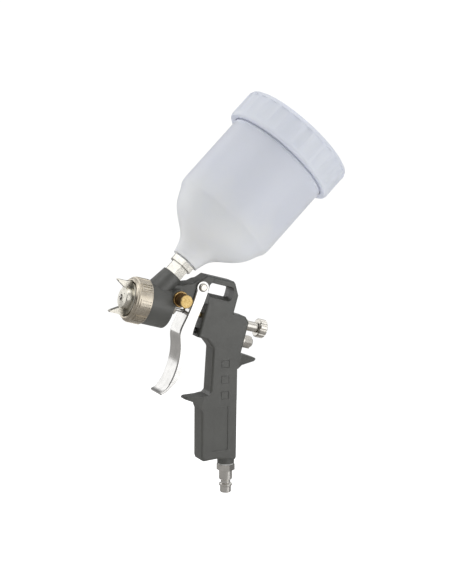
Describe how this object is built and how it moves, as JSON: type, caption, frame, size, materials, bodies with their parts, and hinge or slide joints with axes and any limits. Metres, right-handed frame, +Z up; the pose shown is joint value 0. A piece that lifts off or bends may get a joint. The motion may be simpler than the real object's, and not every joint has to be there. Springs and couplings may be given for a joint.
{
  "type": "gravity-feed spray gun",
  "caption": "Gravity-feed air spray gun: leaning translucent cup on a dark cast body, horned air cap, lever trigger, raked grip and a quick-connect air plug.",
  "frame": {"origin": "tip of the fluid nozzle, on the spray axis", "axes": "+X along the spray direction, +Y to the gun's left, +Z up from the needle axis towards the cup"},
  "size_m": [0.1642, 0.1012, 0.3236],
  "materials": {
    "body_coat": "satin",
    "nozzle_steel": "satin",
    "baffle_plastic": "matte",
    "cap_nickel": "satin",
    "ring_nickel": "satin",
    "needle_steel": "polished",
    "collar_brass": "satin",
    "shoulder_brass": "satin",
    "packing_plastic": "matte",
    "nut_nickel": "satin",
    "spring_steel": "satin",
    "sleeve_nickel": "satin",
    "knob_nickel": "satin",
    "stem_steel": "blackened",
    "seat_brass": "satin",
    "disc_rubber": "matte",
    "piston_brass": "satin",
    "air_spring_steel": "satin",
    "plug_nickel": "satin",
    "trigger_chrome": "polished",
    "screw_nickel": "satin",
    "pivot_nut_nickel": "satin",
    "bush_brass": "satin",
    "knob_brass": "satin",
    "adapter_nickel": "satin",
    "adapter_gasket": "matte",
    "cup_plastic": "satin translucent",
    "strainer_plastic": "matte",
    "lid_plastic": "satin",
    "lid_gasket": "matte",
    "vent_plastic": "matte",
    "inlet_nickel": "satin",
    "inlet_seal": "matte"
  },
  "bodies": {
    "gun": {"gun_body": "body_coat", "fluid_nozzle": "nozzle_steel", "air_baffle": "baffle_plastic", "needle_packing": "packing_plastic", "packing_nut": "nut_nickel", "needle_sleeve": "sleeve_nickel", "needle_spring": "spring_steel", "air_valve_seat": "seat_brass", "air_valve_cap": "plug_nickel", "air_valve_spring": "air_spring_steel", "pivot_screw": "screw_nickel", "pivot_nut": "pivot_nut_nickel", "fan_valve_bush": "bush_brass", "cup_adapter": "adapter_nickel", "adapter_gasket": "adapter_gasket", "paint_cup": "cup_plastic", "paint_strainer": "strainer_plastic", "air_plug": "inlet_nickel", "inlet_seal": "inlet_seal"},
    "trigger_lever": {"trigger": "trigger_chrome"},
    "needle": {"fluid_needle": "needle_steel", "needle_collar": "collar_brass", "needle_shoulder": "shoulder_brass"},
    "air_valve": {"air_valve_stem": "stem_steel", "air_valve_disc": "disc_rubber", "air_valve_piston": "piston_brass"},
    "fluid_adjuster": {"fluid_knob": "knob_nickel"},
    "fan_adjuster": {"fan_valve_knob": "knob_brass"},
    "spray_cap": {"air_cap": "cap_nickel"},
    "cap_ring": {"air_cap_ring": "ring_nickel"},
    "lid": {"cup_lid": "lid_plastic", "lid_gasket": "lid_gasket", "vent_plug": "vent_plastic"}
  },
  "joints": [
    {"name": "trigger_pull", "type": "hinge", "parent": "gun", "child": "trigger_lever", "pos_m": [-0.064, 0, 0.0226], "axis": [0, 1, 0], "range_deg": [0, 11], "stiffness_Nm_per_rad": 2, "springref_deg": -11.46},
    {"name": "needle_slide", "type": "slide", "parent": "gun", "child": "needle", "axis": [-1, 0, 0], "range_m": [0, 0.0044], "deforming": ["needle_spring"]},
    {"name": "air_valve_slide", "type": "slide", "parent": "gun", "child": "air_valve", "axis": [-1, 0, 0], "range_m": [0, 0.0069], "deforming": ["air_valve_spring"]},
    {"name": "fluid_knob_turn", "type": "hinge", "parent": "gun", "child": "fluid_adjuster", "pos_m": [-0.1286, 0, 0], "axis": [-1, 0, 0], "range_deg": [-360, 360]},
    {"name": "fan_knob_turn", "type": "hinge", "parent": "gun", "child": "fan_adjuster", "pos_m": [-0.0446, 0.023, 0.01], "axis": [0, 1, 0], "range_deg": [0, 270]},
    {"name": "air_cap_turn", "type": "hinge", "parent": "gun", "child": "spray_cap", "pos_m": [-0.006, 0, 0], "axis": [1, 0, 0], "range_deg": [-90, 90]},
    {"name": "cap_ring_turn", "type": "hinge", "parent": "gun", "child": "cap_ring", "pos_m": [-0.014, 0, 0], "axis": [1, 0, 0], "range_deg": [-180, 180]},
    {"name": "lid_lift", "type": "slide", "parent": "gun", "child": "lid", "axis": [-0.4909, 0, 0.8712], "range_m": [0, 0.045]}
  ],
  "couplings": [
    {"joint": "needle_slide", "follows": "trigger_pull", "m_per_rad": 0.0226},
    {"joint": "air_valve_slide", "follows": "trigger_pull", "m_per_rad": 0.0356}
  ]
}
